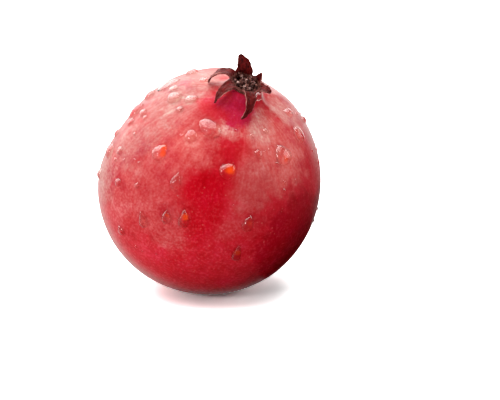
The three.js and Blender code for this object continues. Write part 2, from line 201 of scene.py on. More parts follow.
def counted(tree, operation, first, second=0.0, third=0.0):
    return put(tree, "ShaderNodeMath", {0: first, 1: second, 2: third}, operation=operation).outputs[0]


def product(tree, first, second):
    return counted(tree, "MULTIPLY", first, second)


def vectored(tree, operation, first, second=(0, 0, 0)):
    # comes out as a number where the operation measures something
    inputs = {0: first, "Scale" if operation == "SCALE" else 1: second}
    node = put(tree, "ShaderNodeVectorMath", inputs, operation=operation)
    return node.outputs["Value" if operation in ("LENGTH", "DISTANCE", "DOT_PRODUCT") else "Vector"]


def ranged(tree, value, low, high, start=0.0, end=1.0):
    # goes softly from start to end while the value goes from low to high
    limits = {"Value": value, "From Min": low, "From Max": high, "To Min": start, "To Max": end}
    return put(tree, "ShaderNodeMapRange", limits, interpolation_type="SMOOTHSTEP").outputs[0]


def noiseOn(tree, where, scale, detail=3.0, roughness=0.5, output="Fac"):
    inputs = {"Vector": where, "Scale": scale, "Detail": detail, "Roughness": roughness}
    return put(tree, "ShaderNodeTexNoise", inputs).outputs[output]


def bumped(tree, height, strength, depth, over=None):
    # the normal of a bump, laid over another bump's where one is given
    inputs = {"Height": height, "Strength": strength, "Distance": depth}
    if over is not None:
        inputs["Normal"] = over
    return put(tree, "ShaderNodeBump", inputs).outputs[0]


def coreCoordinates(tree):
    # object coordinates about the fruit's middle, with Z along its core
    place = put(tree, "ShaderNodeTexCoord").outputs["Object"]
    inputs = {"Vector": place, "Location": middle, "Rotation": leaned.to_euler()}
    return put(tree, "ShaderNodeMapping", inputs, vector_type="TEXTURE").outputs[0]


# the rind

# the rind's colours. Besides the skin's own reds, some of them paint light: the pale pinks also paint sheen
# and highlights, and wine and deep also paint shade
rindColours = {
    "body": (0.36, 0.006, 0.013),
    "crimson": (0.33, 0.001, 0.006),
    "wine": (0.26, 0.0008, 0.006),
    "berry": (0.33, 0.006, 0.026),
    "deep": (0.13, 0.0003, 0.002),
    "rose": (0.35, 0.040, 0.040),
    "sheenBlush": (0.33, 0.118, 0.104),
    "salmon": (0.47, 0.085, 0.076),
    "pale": (0.46, 0.165, 0.145),
    "paintedRimSheen": (0.36, 0.22, 0.20),
    "cup": (0.045, 0.012, 0.009),
    "stemScar": (0.20, 0.085, 0.04),
}

# soft patches on the rind, by the pixel that shows their middle or, behind, by the way out to it:
# full colour out to the first reach and none beyond the second, in mm. Many paint light as well as colour:
# the pale ones high up paint sheen and highlights, and the dark ones low down paint shade.
rindPatches = [
    # painted sheen over the skin's pink: paler patches high on the left, at the top and along the left edge
    {"at": (132, 170), "reach": (8, 36), "colour": "rose", "share": 0.95},
    {"at": (172, 122), "reach": (8, 28), "colour": "rose", "share": 0.95},
    {"at": (174, 92), "reach": (6, 20), "colour": "sheenBlush", "share": 0.95},
    {"at": (204, 76), "reach": (4, 13), "colour": "pale", "share": 0.9},
    {"at": (198, 72), "reach": (2, 9), "colour": "paintedRimSheen", "share": 0.5},
    {"at": (178, 82), "reach": (2, 8), "colour": "paintedRimSheen", "share": 0.4},
    {"at": (101, 164), "reach": (2, 9), "colour": "paintedRimSheen", "share": 0.3},
    {"at": (130, 140), "reach": (4, 15), "colour": "sheenBlush", "share": 0.7},
    {"at": (162, 128), "reach": (2, 11), "colour": "sheenBlush", "share": 0.45},
    {"at": (104, 172), "reach": (3, 14), "colour": "sheenBlush", "share": 0.8},
    {"at": (186, 146), "reach": (4, 15), "colour": "salmon", "share": 0.7},
    # painted sheen and highlights over the skin's own tone: the right shoulder, and the pale band beside the
    # neck
    {"at": (276, 153), "reach": (8, 20), "colour": "salmon", "share": 0.9},
    {"at": (254, 186), "reach": (3, 13), "colour": "rose", "share": 0.9},
    {"at": (286, 112), "reach": (4, 12), "colour": "pale", "share": 0.85},
    {"at": (222, 127), "reach": (2, 8), "colour": "pale", "share": 0.9},
    {"at": (258, 130), "reach": (2, 9), "colour": "pale", "share": 0.6},
    {"at": (166, 226), "reach": (3, 14), "colour": "rose", "share": 0.7},
    {"at": (242, 228), "reach": (2, 11), "colour": "rose", "share": 0.35},
    {"at": (207, 190), "reach": (5, 14), "colour": "crimson", "share": 0.97},
    {"at": (200, 224), "reach": (3, 11), "colour": "crimson", "share": 0.9},
    {"at": (222, 150), "reach": (2, 8), "colour": "crimson", "share": 0.7},
    {"at": (246, 150), "reach": (1, 6), "colour": "crimson", "share": 0.5},
    {"at": (235, 107), "reach": (5, 10), "colour": "berry", "share": 1.0},
    {"at": (212, 112), "reach": (2, 7), "colour": "body", "share": 0.8},
    # painted shade over a deeper red: darker patches low on the right, low on the left and under the fruit
    {"at": (298, 236), "reach": (16, 22), "colour": "wine", "share": 0.95},
    {"at": (138, 272), "reach": (5, 9), "colour": "wine", "share": 0.95},
    {"at": (222, 292), "reach": (8, 34), "colour": "wine", "share": 0.95},
    {"at": (308, 262), "reach": (9, 32), "colour": "deep", "share": 0.97},
    {"towards": (0.35, 0.85, 0.5), "reach": (6, 24), "colour": "rose", "share": 0.8},
    {"towards": (-0.55, 0.75, 0.1), "reach": (3, 17), "colour": "salmon", "share": 0.6},
    {"towards": (0.9, 0.45, -0.1), "reach": (3, 18), "colour": "rose", "share": 0.7},
    {"towards": (0.1, 0.9, -0.45), "reach": (6, 24), "colour": "wine", "share": 0.7},
]

# the patches' borders wander in wide bends, and fray in small ones
borders = {
    "bends": {"scale": 70.0, "detail": 5.0, "roughness": 0.62}, "bendWidth": 20 * mm,
    "frays": {"scale": 260.0, "detail": 5.0, "roughness": 0.68}, "frayWidth": 16 * mm,
}

# broad mottling, blotches a few millimetres wide, faint wavy streaks and fine grains. Each makes the colour
# paler where its noise is high and redder where it is low. Its strength fades between two heights along
# the core, because the skin is smoother near the crown, and the streaks run down from there.
skinPatterns = {
    "mottles": {
        "noise": {"scale": 85.0, "detail": 6.0, "roughness": 0.7}, "fade": (0.0, 30 * mm, 1.0, 1.0),
        "high": (0.5, 0.66), "paler": (1.06, 1.5, 1.45), "low": (0.48, 0.34), "redder": (0.89, 0.58, 0.72),
    },
    "blotches": {
        "noise": {"scale": 170.0, "detail": 4.0, "roughness": 0.6}, "fade": (0.0, 30 * mm, 1.0, 0.5),
        "high": (0.5, 0.66), "paler": (1.06, 1.35, 1.35), "low": (0.48, 0.34), "redder": (0.95, 0.7, 0.72),
    },
    "streaks": {
        "noise": {"scale": 1.0, "detail": 2.5, "roughness": 0.55}, "fade": (6 * mm, 34 * mm, 0.1, 0.7),
        "high": (0.5, 0.64), "paler": (1.06, 1.35, 1.35), "low": (0.49, 0.36), "redder": (0.95, 0.7, 0.72),
    },
    "grains": {
        "noise": {"scale": 1050.0, "detail": 2.0, "roughness": 0.55}, "fade": (0.0, 30 * mm, 1.0, 0.5),
        "high": (0.5, 0.62), "paler": (1.1, 1.55, 1.5), "low": (0.49, 0.36), "redder": (0.95, 0.6, 0.65),
    },
}
streakRun = {"round": 26.0, "down": 110.0, "bend": 3.5}  # how close the streaks lie, and how they sway

# pale dust on the higher grains, and a few pale specks: some cells have a dot in their middle
dust = (0.53, 0.66, 0.0, 0.13)
specks = {"scale": 620.0, "dot": (0.28, 0.08), "some": (0.55, 0.95), "share": 0.42}

# where light gathered by a drop falls on the rind under it, with its width in mm
glows = [
    {"at": (164, 147), "wide": 1.5, "share": 0.8},
    {"at": (163, 153), "wide": 1.2, "share": 0.7},
    {"at": (230, 170), "wide": 1.9, "share": 1.0},
    {"at": (185, 217), "wide": 1.4, "share": 0.8},
    {"at": (167, 215), "wide": 1.0, "share": 0.4},
    {"at": (285, 159), "wide": 1.3, "share": 0.6},
    {"at": (237, 252), "wide": 1.1, "share": 0.45},
    {"at": (249, 223), "wide": 1.2, "share": 0.25},
]
glowLook = {"colour": (0.62, 0.055, 0.004), "reach": (0.15, 1.25), "fray": 0.15}

# a painted rim sheen: the skin is paler where it is seen at a low angle, but not on the side away from the
# light
paintedRimSheen = {"edge": (0.55, 0.92), "share": 0.6, "from": (-0.6, 0.0, 0.8), "between": (-26 * mm, -8 * mm)}

# the dried cup in the crown and the scar round the stem, by their distance from the core and their height
driedEnds = {
    "cup": {"out": (5.6 * mm, 4.8 * mm), "height": (40 * mm, 43 * mm)},
    "stemScar": {"out": (7.5 * mm, 3.2 * mm), "height": (-30 * mm, -36 * mm)},
}

# the gloss is tinted, so that the white surround does not grey the red, and higher grains are glossier
rindGloss = {"Specular IOR Level": 0.09, "Specular Tint": (1.0, 0.2, 0.25, 1)}
grainGloss = (0.3, 0.7, 0.42, 0.3)

# pores and shallow waves, each a noise of its own, and grooves along the streaks
rindRelief = [
    {"noise": {"scale": 900.0, "detail": 2.0, "roughness": 0.55}, "strength": 0.7, "depth": 0.12 * mm},
    {"noise": {"scale": 230.0, "detail": 2.0, "roughness": 0.55}, "strength": 0.5, "depth": 0.25 * mm},
    {"strength": 0.25, "depth": 0.2 * mm},
]
fruitTree = treeOf(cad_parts["fruit"])


def onFruit(x, y):
    # where a pixel's sight line meets the fruit, or comes nearest to it
    line = (seenAt(x, y) - eye).normalized()
    return fruitTree.ray_cast(eye, line)[0] or fruitTree.find_nearest(seenAt(x, y))[0]


def skinPlaces(tree):
    # a spot's place from the fruit's middle, the same laid flat across the core, and its height along it,
    # with the noises that make borders wander and fray
    local = coreCoordinates(tree)
    parts = put(tree, "ShaderNodeSeparateXYZ", {0: local}).outputs
    bends = noiseOn(tree, local, **borders["bends"], output="Color")
    frays = noiseOn(tree, local, **borders["frays"])
    return {
        "local": local,
        "flat": put(tree, "ShaderNodeCombineXYZ", {0: parts[0], 1: parts[1], 2: 0.0}).outputs[0],
        "height": parts[2],
        "bend": vectored(tree, "SUBTRACT", bends, (0.5, 0.5, 0.5)),
        "fray": counted(tree, "MULTIPLY_ADD", frays, borders["frayWidth"], -borders["frayWidth"] / 2),
    }


def patchedColour(tree, places):
    wander = vectored(tree, "SCALE", places["bend"], borders["bendWidth"])
    strayed = vectored(tree, "ADD", places["local"], wander)
    colour = rindColours["body"]
    for patch in rindPatches:
        if "at" in patch:
            spot = onFruit(*patch["at"])
        else:
            spot = fruitTree.ray_cast(middle, Vector(patch["towards"]))[0]
        away = vectored(tree, "DISTANCE", strayed, intoFruit @ spot)
        away = counted(tree, "ADD", away, places["fray"])
        near, far = patch["reach"]
        share = ranged(tree, away, near * mm, far * mm, patch["share"], 0.0)
        colour = mixed(tree, share, colour, rindColours[patch["colour"]])
    return colour


def streakPlaces(tree, places):
    # the skin set out on a wide cylinder round the core, on which noise comes out as long wavy streaks
    turned = vectored(tree, "NORMALIZE", places["flat"])
    spread = vectored(tree, "SCALE", turned, streakRun["round"])
    height = product(tree, places["height"], streakRun["down"])
    lift = put(tree, "ShaderNodeCombineXYZ", {0: 0.0, 1: 0.0, 2: height}).outputs[0]
    bent = vectored(tree, "SCALE", places["bend"], streakRun["bend"])
    return vectored(tree, "ADD", vectored(tree, "ADD", spread, lift), bent)


def patternedColour(tree, places, colour):
    patterns = {}
    for name, look in skinPatterns.items():
        where = streakPlaces(tree, places) if name == "streaks" else places["local"]
        patterns[name] = noiseOn(tree, where, **look["noise"])
        strength = ranged(tree, places["height"], *look["fade"])
        for limits, tint in ((look["high"], look["paler"]), (look["low"], look["redder"])):
            share = product(tree, ranged(tree, patterns[name], *limits), strength)
            colour = mixed(tree, share, colour, tint, "MULTIPLY")
    return colour, patterns


def speckledColour(tree, places, grains, colour):
    strength = ranged(tree, places["height"], *skinPatterns["grains"]["fade"])
    dusty = product(tree, ranged(tree, grains, *dust), strength)
    colour = mixed(tree, dusty, colour, rindColours["salmon"])
    inputs = {"Vector": places["local"], "Scale": specks["scale"], "Randomness": 1.0}
    cells = put(tree, "ShaderNodeTexVoronoi", inputs).outputs
    drawn = put(tree, "ShaderNodeSeparateColor", {0: cells["Color"]}).outputs[0]
    dot = product(tree, ranged(tree, cells["Distance"], *specks["dot"]), ranged(tree, drawn, *specks["some"]))
    return mixed(tree, product(tree, dot, specks["share"]), colour, rindColours["salmon"])


def glowingColour(tree, places, colour):
    for glow in glows:
        spot = onFruit(*glow["at"])
        away = vectored(tree, "DISTANCE", places["local"], intoFruit @ spot)
        away = counted(tree, "MULTIPLY_ADD", places["fray"], glowLook["fray"], away)
        near, far = (reach * glow["wide"] * mm for reach in glowLook["reach"])
        share = ranged(tree, away, near, far, glow["share"], 0.0)
        colour = mixed(tree, share, colour, glowLook["colour"])
    return colour


def paintedRimSheenColour(tree, places, colour):
    # paints a sheen into the colour: paler towards the outline, except on the side away from the light
    edge = put(tree, "ShaderNodeLayerWeight", {"Blend": 0.5}).outputs["Facing"]
    shows = ranged(tree, edge, *paintedRimSheen["edge"], 0.0, paintedRimSheen["share"])
    side = vectored(tree, "DOT_PRODUCT", places["local"], intoFruit.to_3x3() @ Vector(paintedRimSheen["from"]))
    share = product(tree, shows, ranged(tree, side, *paintedRimSheen["between"]))
    return mixed(tree, share, colour, rindColours["paintedRimSheen"])


def driedEndsColour(tree, places, colour):
    out = vectored(tree, "LENGTH", places["flat"])
    for name, end in driedEnds.items():
        share = product(tree, ranged(tree, out, *end["out"]), ranged(tree, places["height"], *end["height"]))
        colour = mixed(tree, share, colour, rindColours[name])
    return colour


def rindMaterial():
    mat, tree, skin = startMaterial("rind")
    places = skinPlaces(tree)
    colour, patterns = patternedColour(tree, places, patchedColour(tree, places))
    colour = speckledColour(tree, places, patterns["grains"], colour)
    colour = glowingColour(tree, places, colour)
    colour = paintedRimSheenColour(tree, places, colour)
    colour = driedEndsColour(tree, places, colour)
    tree.links.new(colour, skin.inputs["Base Color"])
    tree.links.new(ranged(tree, patterns["grains"], *grainGloss), skin.inputs["Roughness"])
    setSockets(skin, rindGloss)
    normal = None
    for bump in rindRelief:
        height = patterns["streaks"]
        if "noise" in bump:
            height = noiseOn(tree, places["local"], **bump["noise"])
        normal = bumped(tree, height, bump["strength"], bump["depth"], normal)
    tree.links.new(normal, skin.inputs["Normal"])
    return mat


rindShape = {
    "levels": 2, "lumps": [(15 * mm, 0.45 * mm), (3.6 * mm, 0.07 * mm)],
    "spotHeight": 0.3 * mm, "spotEdge": 3 * mm,  # the resting spot, which stays flat
    "hollowAt": (150, 102), "hollowReach": 34 * mm, "hollow": 1.3 * mm,  # a flatter shoulder on the left
}


def makeRind():
    rind = namedCopy("fruit", "rind")
    free = rind.vertex_groups.new(name="free")
    subdivide(rind, rindShape["levels"])
    applyAll(rind)
    hollowMiddle = seenAt(*rindShape["hollowAt"])
    for vertex in rind.data.vertices:
        share = max(0.0, 1 - ((vertex.co - hollowMiddle).length / rindShape["hollowReach"]) ** 2) ** 2
        vertex.co += (middle - vertex.co).normalized() * rindShape["hollow"] * share
        clear = (vertex.co.z - rindShape["spotHeight"]) / rindShape["spotEdge"]
        free.add([vertex.index], min(1.0, max(0.0, clear)), "REPLACE")
    roughen(rind, rindShape["lumps"], "free")
    applyAll(rind)
    rind.data.materials.append(rindMaterial())
    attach(rind, "root")
    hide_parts("fruit")
    return rind


rind = makeRind()
print("rind dressed")


# the crown's dried lobes

crown = {"neckTop": 47.7 * mm, "ringRadius": 5.5 * mm}

# turn is a lobe's place round the core, and wide and long are in mm. It climbs at rise, in degrees, once it
# has left the ring, bends down by curl towards its tip and veers aside by drift. Its sides close in sooner
# with more taper, and stand up by cup.
lobes = [
    {"name": "lobeBack", "turn": 107, "wide": 7.7, "long": 7.7, "rise": 79, "curl": 43, "drift": 62,
     "taper": 0.65, "cup": 0.06},
    {"name": "lobeHook", "turn": 160, "wide": 4.9, "long": 12.4, "rise": 0, "curl": 90, "drift": 14,
     "taper": 0.42, "cup": 0.15},
    {"name": "lobeLeft", "turn": 216, "wide": 5.6, "long": 10.9, "rise": -15, "curl": 56, "drift": 24,
     "taper": 0.95, "cup": 0.08},
    {"name": "lobeFront", "turn": 284, "wide": 5.4, "long": 13.2, "rise": 8, "curl": 100, "drift": -38,
     "taper": 0.92, "cup": 0.07},
    {"name": "lobeRight", "turn": 344, "wide": 6.2, "long": 4.8, "rise": 29, "curl": 45, "drift": -12,
     "taper": 0.6, "cup": 0.12, "ragged": 0.85},
    {"name": "lobeShort", "turn": 36, "wide": 4.3, "long": 4.2, "rise": 81, "curl": -19, "drift": -3,
     "taper": 0.85, "cup": 0.1, "ragged": 0.5},
]

# what the lobes have in common: foot is how far above the neck's end they start, bend the share of their
# length that they take to leave the ring, and eased the share over which they lose the ring's roundness.
# ragged and notches are for the margin, and tip and belly for the outline.
lobeShape = {
    "rows": 14, "columns": 8, "foot": 0.5 * mm, "bend": 0.07, "eased": 0.3,
    "ragged": 0.16, "notches": (0.8, 1.2), "tip": 0.08, "belly": 0.25,
    "thick": 0.75 * mm, "thinner": 0.4, "levels": 2,
    "lumps": [(2.2 * mm, 0.9 * mm), (0.7 * mm, 0.32 * mm)],
}


def widthShare(share, taper):
    tip = lobeShape["tip"]
    return tip + (1 - tip) * (1 - share) ** taper * (1 + lobeShape["belly"] * share)


def lobeWay(lobe, share):
    # how steeply a lobe climbs and how far it has veered, at a share of its length
    leaving = (90 - lobe["rise"]) * math.exp(-share / lobeShape["bend"])
    climb = lobe["rise"] + leaving - lobe["curl"] * share
    return math.radians(climb), math.radians(lobe["drift"] * share * share)


def turnPicked(angle, axis, centre):
    # without a window the operator turns the other way
    bpy.ops.transform.rotate(value=-angle, orient_axis=axis, orient_type="GLOBAL", center_override=centre)


def shapeRow(obj, lobe, row):
    # picks one row of a lobe's grid and makes it an arc, with a margin that wanders a little
    share = row / lobeShape["rows"]
    half = lobe["wide"] / 2 * mm * widthShare(share, lobe["taper"])
    ease = min(1.0, share / lobeShape["eased"])
    ease = ease * ease * (3 - 2 * ease)
    hollow = (1 - ease) * 0.5 / crown["ringRadius"] + ease * lobe["cup"] / mm
    ragged = lobe.get("ragged", lobeShape["ragged"])
    along, across = lobeShape["notches"]
    grid = bmesh.from_edit_mesh(obj.data)
    for vertex in grid.verts:
        vertex.select_set(vertex.index // (lobeShape["columns"] + 1) == row)
    grid.select_flush_mode()
    for vertex in grid.verts:
        if vertex.select:
            edge = vertex.co.x
            spot = Vector((row * along, edge * across, lobe["turn"]))
            stray = noise.noise(spot) * ragged * abs(edge) ** 3
            vertex.co.x = (edge * (1 + stray)) * half
            vertex.co.z = hollow * vertex.co.x**2
    bmesh.update_edit_mesh(obj.data)


def addLobeGrid(lobe):
    # a flat grid, gathered on one line and then set out row by row, with -Y as the way outwards
    rows, columns = lobeShape["rows"], lobeShape["columns"]
    bpy.ops.object.select_all(action="DESELECT")
    bpy.ops.mesh.primitive_grid_add(x_subdivisions=columns, y_subdivisions=rows, size=2)
    obj = bpy.context.object
    obj.name = obj.data.name = lobe["name"]
    bpy.ops.object.mode_set(mode="EDIT")
    bpy.ops.transform.resize(value=(1, 0, 1), center_override=(0, 0, 0))
    centre = Vector((0, -crown["ringRadius"], crown["neckTop"] + lobeShape["foot"]))
    step = lobe["long"] * mm / rows
    for row in range(rows + 1):
        shapeRow(obj, lobe, row)
        climb, veer = lobeWay(lobe, row / rows)
        turnPicked(veer, "Z", (0, 0, 0))
        turnPicked(-climb, "X", (0, 0, 0))
        bpy.ops.transform.translate(value=centre)
        climb, veer = lobeWay(lobe, row / rows + 0.5 / rows)
        outwards = math.cos(veer) * math.cos(climb)
        centre += step * Vector((math.sin(veer), -outwards, math.cos(veer) * math.sin(climb)))
    bpy.ops.object.mode_set(mode="OBJECT")
    return obj


def thicken(obj):
    # a shell that thins towards the tip, with its outside and its margin in the next two materials
    thin = obj.vertex_groups.new(name="thickness")
    for vertex in obj.data.vertices:
        share = (vertex.index // (lobeShape["columns"] + 1)) / lobeShape["rows"]
        thin.add([vertex.index], 1 - lobeShape["thinner"] * share, "REPLACE")
    shell = obj.modifiers.new("thickness", "SOLIDIFY")
    shell.thickness = lobeShape["thick"]
    shell.offset = 0
    shell.vertex_group = "thickness"
    shell.material_offset = 1
    shell.material_offset_rim = 2


def makeLobe(lobe, materials):
    obj = addLobeGrid(lobe)
    thicken(obj)
    subdivide(obj, lobeShape["levels"])
    roughen(obj, lobeShape["lumps"])
    for mat in materials:
        obj.data.materials.append(mat)
    applyAll(obj)
    bpy.ops.object.shade_smooth()
    settle(obj, alongCore @ Matrix.Rotation(math.radians(lobe["turn"] + 90), 4, "Z"))
    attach(obj, "root")
    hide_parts("calyx")
    return obj


# dark fibres among light ones, with stains over them; stretch is how far the fibres are drawn out
driedLooks = {
    "lobeInside": {
        "dark": (0.016, 0.001, 0.0015), "light": (0.20, 0.007, 0.009), "stain": (0.07, 0.004, 0.005),
        "roughness": 0.45, "stretch": (9.0, 1.6),
    },
    "lobeOutside": {
        "dark": (0.014, 0.001, 0.0015), "light": (0.13, 0.006, 0.006), "stain": (0.045, 0.003, 0.003),
        "roughness": 0.45, "stretch": (9.0, 1.6),
    },
    "lobeEdge": {
        "dark": (0.08, 0.018, 0.016), "light": (0.46, 0.20, 0.17), "stain": (0.14, 0.03, 0.028),
        "roughness": 0.5, "stretch": (9.0, 1.6),
    },
    "rimTissue": {
        "dark": (0.02, 0.004, 0.004), "light": (0.16, 0.05, 0.036), "stain": (0.06, 0.013, 0.011),
        "roughness": 0.6, "stretch": (60.0, 4.0),
    },
}
driedSkin = {
    "fibres": {"scale": 2.2, "detail": 5.0, "roughness": 0.65}, "fibreRange": (0.34, 0.68),
    "stains": {"scale": 420.0}, "stainRange": (0.5, 0.68, 0.0, 0.7), "relief": (0.8, 0.25 * mm),
    "roughRange": (0.3, 0.7), "roughSpread": 0.1,
    "gloss": {"Specular IOR Level": 0.14, "Specular Tint": (1.0, 0.25, 0.2, 1)},
}


def driedMaterial(name):
    # dried skin with fibres along the lobe, on the piece's own UV map
    look = driedLooks[name]
    mat, tree, skin = startMaterial(name)
    place = put(tree, "ShaderNodeTexCoord").outputs
    run = put(tree, "ShaderNodeMapping", {"Vector": place["UV"], "Scale": (*look["stretch"], 1)}).outputs[0]
    fibres = noiseOn(tree, run, **driedSkin["fibres"])
    stains = noiseOn(tree, place["Object"], **driedSkin["stains"])
    colour = mixed(tree, ranged(tree, fibres, *driedSkin["fibreRange"]), look["dark"], look["light"])
    colour = mixed(tree, ranged(tree, stains, *driedSkin["stainRange"]), colour, look["stain"])
    tree.links.new(colour, skin.inputs["Base Color"])
    smooth, rough = look["roughness"] - driedSkin["roughSpread"], look["roughness"] + driedSkin["roughSpread"]
    tree.links.new(ranged(tree, stains, *driedSkin["roughRange"], smooth, rough), skin.inputs["Roughness"])
    tree.links.new(bumped(tree, fibres, *driedSkin["relief"]), skin.inputs["Normal"])
    setSockets(skin, driedSkin["gloss"])
    return mat


rimShape = {
    "thick": 0.72 * mm, "above": 0.35 * mm, "segments": (120, 14),
    "lumps": [(1.2 * mm, 1.1 * mm), (0.45 * mm, 0.45 * mm)],
}


def makeRim():
    # the torn ring that the lobes grow from, on the neck's end
    around, section = rimShape["segments"]
    bpy.ops.object.select_all(action="DESELECT")
    bpy.ops.mesh.primitive_torus_add(
        major_radius=crown["ringRadius"], minor_radius=rimShape["thick"],
        major_segments=around, minor_segments=section, location=(0, 0, crown["neckTop"] + rimShape["above"]),
    )
    rim = bpy.context.object
    rim.name = rim.data.name = "crownRim"
    settle(rim, Matrix.Identity(4))
    roughen(rim, rimShape["lumps"])
    applyAll(rim)
    bpy.ops.object.shade_smooth()
    rim.data.materials.append(driedMaterial("rimTissue"))
    settle(rim, alongCore)
    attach(rim, "root")
    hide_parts("calyx")
    return rim


lobeMaterials = [driedMaterial(name) for name in ("lobeInside", "lobeOutside", "lobeEdge")]
crownPieces = [makeLobe(lobe, lobeMaterials) for lobe in lobes] + [makeRim()]
print("crown lobes and rim made")


# the dried stamens in the cup

# the tuft's threads. What is drawn for each has a pair of limits: how tall it is, its lean outwards and its
# sway aside, in mm, and how much thicker it is. bow is how far it strays, in mm, at two shares of its way.
tuft = {
    "count": 96, "seed": 4, "floor": 44.4 * mm, "spread": 4.3 * mm,
    "thread": 0.11 * mm, "thicker": (0.8, 1.5), "tall": (2.6, 5.4),
    "lean": (-0.9, 1.0), "leanInside": 0.4, "sway": (-1.2, 1.2), "goldenAngle": 137.5,
    "bow": [(0.45, 0.5), (0.8, 0.3)], "footDepth": 0.3 * mm,
}
# outer threads that flop over the ring
flopping = {"from": 0.66, "lean": (0.8, 3.0), "tall": (4.9, 6.0)}
# every fourth of the other threads rolls into a loop, and the rest have an anther, tipped and turned by
# up to so many radians
loop = {"every": 4, "radius": (0.45, 0.7), "points": 7, "perTurn": 7.5}
antherShape = {"radius": (0.32, 0.5), "scale": (1.5, 0.75, 0.65), "tip": 0.6, "turn": 1.0, "faces": (8, 6)}
# the low disc that the threads stand on
cushionShape = {"radius": 4.5 * mm, "flat": 0.32, "faces": (40, 16)}
tuftLumps = [(0.6 * mm, 0.25 * mm)]

# pale rolled ends that stand clear of the rest, by the pixel that shows them, with their radius in mm
curls = [
    {"at": (254, 82.6), "radius": 0.66}, {"at": (242, 75.8), "radius": 0.52},
    {"at": (247, 80), "radius": 0.4}, {"at": (239, 82.5), "radius": 0.5},
    {"at": (236, 79.5), "radius": 0.4}, {"at": (250, 88.5), "radius": 0.42},
    {"at": (245, 86.5), "radius": 0.36}, {"at": (251, 77), "radius": 0.36},
]
curlShape = {
    "above": 1.1 * mm, "thread": 0.19 * mm, "points": 10, "perTurn": 8.5, "lean": (-0.4, 0.9),
    "footShare": 0.8, "bowShare": 0.3,
}

tuftLooks = {
    "stamenThreads": {"dark": (0.025, 0.005, 0.005), "light": (0.22, 0.07, 0.055), "roughness": 0.6},
    "stamenTips": {"dark": (0.03, 0.007, 0.006), "light": (0.20, 0.075, 0.055), "roughness": 0.65},
    "stamenCurls": {"dark": (0.16, 0.05, 0.045), "light": (0.72, 0.45, 0.40), "roughness": 0.5},
}
tuftSkin = {"stainScale": 900.0, "stainRange": (0.36, 0.64), "relief": (0.5, 0.1 * mm), "specular": 0.15}


def tuftMaterial(name):
    look = tuftLooks[name]
    mat, tree, skin = startMaterial(name)
    stain = noiseOn(tree, put(tree, "ShaderNodeTexCoord").outputs["Object"], tuftSkin["stainScale"])
    colour = mixed(tree, ranged(tree, stain, *tuftSkin["stainRange"]), look["dark"], look["light"])
    tree.links.new(colour, skin.inputs["Base Color"])
    tree.links.new(bumped(tree, stain, *tuftSkin["relief"]), skin.inputs["Normal"])
    setSockets(skin, {"Roughness": look["roughness"], "Specular IOR Level": tuftSkin["specular"]})
    return mat


def threadAlong(points, thick):
    # a thread: a curve through the points, rounded and made a mesh
    curve = bpy.data.curves.new("thread", "CURVE")
    curve.dimensions = "3D"
    curve.bevel_depth = thick
    curve.bevel_resolution = 1
    curve.resolution_u = 3
    curve.use_fill_caps = True
    line = curve.splines.new("NURBS")
    line.points.add(len(points) - 1)
    line.order_u = 3
    line.use_endpoint_u = True
    for spot, point in zip(line.points, points):
        spot.co = (*point, 1)
    obj = bpy.data.objects.new("thread", curve)
    bpy.context.scene.collection.objects.link(obj)
    pick(obj)
    bpy.ops.object.convert(target="MESH")
    return bpy.context.object


def addBall(faces, radius, place):
    segments, rings = faces
    bpy.ops.object.select_all(action="DESELECT")
    bpy.ops.mesh.primitive_uv_sphere_add(segments=segments, ring_count=rings, radius=radius, location=place)
    return bpy.context.object


def makeStamen(draw, number):
    # one thread of the tuft, from the middle outwards, and its anther if it has one
    out = tuft["spread"] * math.sqrt((number + 0.5) / tuft["count"])
    turn = math.radians(tuft["goldenAngle"] * number)
    away = Vector((math.cos(turn), math.sin(turn), 0))
    side = Vector((-away.y, away.x, 0))
    tall = draw.uniform(*tuft["tall"]) * mm
    lean = draw.uniform(*tuft["lean"]) * mm * (tuft["leanInside"] + out / tuft["spread"])
    flops = number > tuft["count"] * flopping["from"] and number % 3 > 0
    if flops:
        lean = draw.uniform(*flopping["lean"]) * mm
        tall = draw.uniform(*flopping["tall"]) * mm
    sway = draw.uniform(*tuft["sway"]) * mm
    foot = away * out + Vector((0, 0, tuft["floor"] - tuft["footDepth"]))
    tip = foot + away * lean + side * sway + Vector((0, 0, tall))
    points = [foot]
    for (share, stray), way in zip(tuft["bow"], (side, away)):
        points.append(foot.lerp(tip, share) + way * draw.uniform(-stray, stray) * mm)
    points.append(tip)
    if number % loop["every"] == 0 and not flops:
        radius = draw.uniform(*loop["radius"]) * mm
        over = draw.uniform(0, math.tau)
        plane = (away * math.cos(over) + side * math.sin(over)).normalized()
        for k in range(1, loop["points"] + 1):
            angle = k * math.tau / loop["perTurn"]
            reach = plane * radius * (1 - math.cos(angle))
            points.append(tip + reach + Vector((0, 0, 1)) * radius * math.sin(angle))
    thread = threadAlong(points, tuft["thread"] * draw.uniform(*tuft["thicker"]))
    if flops or number % loop["every"] == 0:
        return thread, None
    anther = addBall(antherShape["faces"], draw.uniform(*antherShape["radius"]) * mm, tip)
    anther.scale = antherShape["scale"]
    tipping, turning = antherShape["tip"], antherShape["turn"]
    anther.rotation_euler = (
        draw.uniform(-tipping, tipping),
        draw.uniform(-tipping, tipping),
        turn + draw.uniform(-turning, turning),
    )
    return thread, anther


def inCrown(x, y, height):
    # the point at a height above the fruit's middle, along its core, that a pixel shows
    start, way = intoFruit @ eye, intoFruit.to_3x3() @ (seenAt(x, y) - eye)
    return start + way * ((height - start.z) / way.z)


def makeCurl(curl):
    tip = inCrown(*curl["at"], crown["neckTop"] + curlShape["above"])
    radius = curl["radius"] * mm
    foot = Vector((tip.x * curlShape["footShare"], tip.y * curlShape["footShare"], tuft["floor"]))
    points = [foot, tip.lerp(Vector((0, 0, tuft["floor"])), curlShape["bowShare"])]
    deep, high = curlShape["lean"]
    for k in range(curlShape["points"]):
        angle = k * math.tau / curlShape["perTurn"]
        turned = Vector((math.cos(angle), deep * math.sin(angle), high * math.sin(angle)))
        points.append(tip + turned * radius)
    return threadAlong(points, curlShape["thread"])


